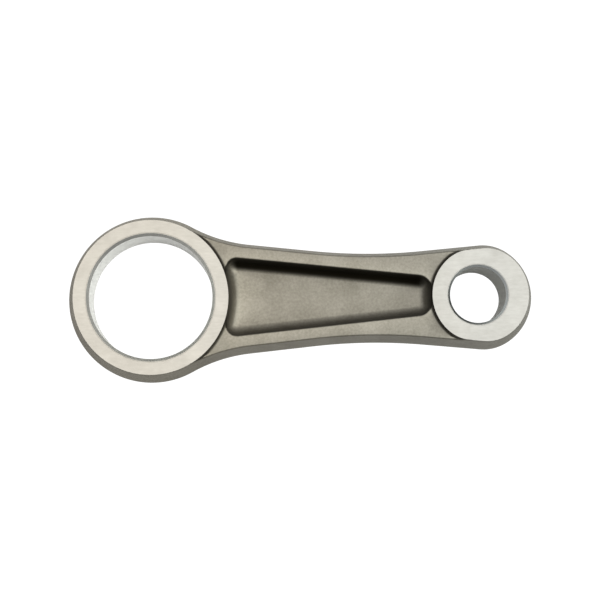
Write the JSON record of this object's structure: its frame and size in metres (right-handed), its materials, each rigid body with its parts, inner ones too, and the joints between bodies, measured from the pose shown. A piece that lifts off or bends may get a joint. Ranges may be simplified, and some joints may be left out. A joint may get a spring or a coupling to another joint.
{
  "type": "connecting rod",
  "caption": "Undivided I-section connecting rod with a large and a small eye, each ground flat and lined with a pressed-in plain bush.",
  "frame": {"origin": "on the plane of the lower ground faces, under the middle of the rod's length", "axes": "+X from the big end to the small end, +Z along both bores, +Y across the shank"},
  "size_m": [0.1676, 0.06, 0.022],
  "materials": {
    "forged_steel": "shot-blasted forging with finely ground eye faces",
    "bush_metal": "finely bored, pale bearing lining on a steel back"
  },
  "bodies": {
    "root": {"rod_forging": "forged_steel", "big_end_bush": "bush_metal", "small_end_bush": "bush_metal"}
  },
  "joints": []
}
